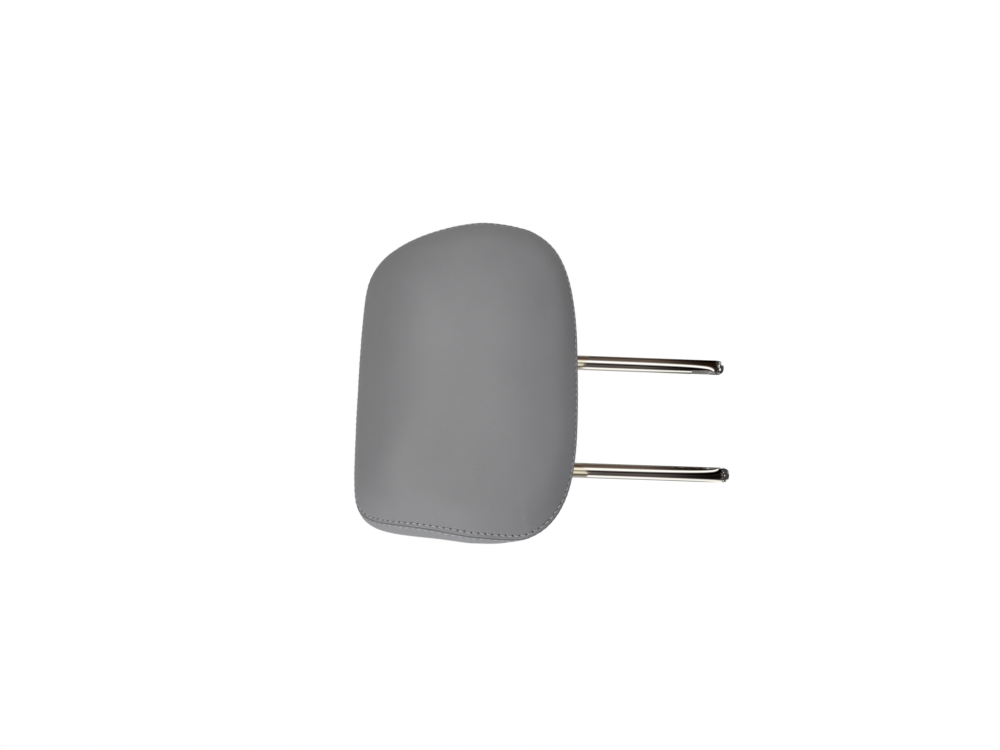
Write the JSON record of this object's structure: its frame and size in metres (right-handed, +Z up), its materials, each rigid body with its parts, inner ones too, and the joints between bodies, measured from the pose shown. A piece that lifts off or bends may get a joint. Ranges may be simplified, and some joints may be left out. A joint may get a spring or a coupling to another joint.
{
  "type": "car headrest",
  "caption": "Padded car headrest in a sewn leather cover with a topstitched seam, carried on one bent chrome tube whose straight ends slide into the seat back.",
  "frame": {"origin": "midway between the two post axes, at the level where the posts leave the underside of the pad", "axes": "+Z up along the posts into the pad, -Y the way the face for the head looks, +X towards the post with the latch notch"},
  "size_m": [0.2748, 0.136, 0.3137],
  "materials": {
    "chrome_tube": "polished chrome plate on drawn steel tube",
    "bare_steel": "pressed sheet steel, uncoated",
    "foam": "moulded polyurethane foam with open pores",
    "leather": "mid grey coated leather, fine grain, satin",
    "black_plastic": "black polypropylene, moulded or extruded, satin"
  },
  "bodies": {
    "root": {"post_frame": "chrome_tube", "cross_plate": "bare_steel", "foam_core": "foam", "cover_front": "leather", "cover_back": "leather", "closure_strip_front": "black_plastic", "closure_strip_rear": "black_plastic", "post_collar_left": "black_plastic", "post_collar_right": "black_plastic"}
  },
  "joints": []
}
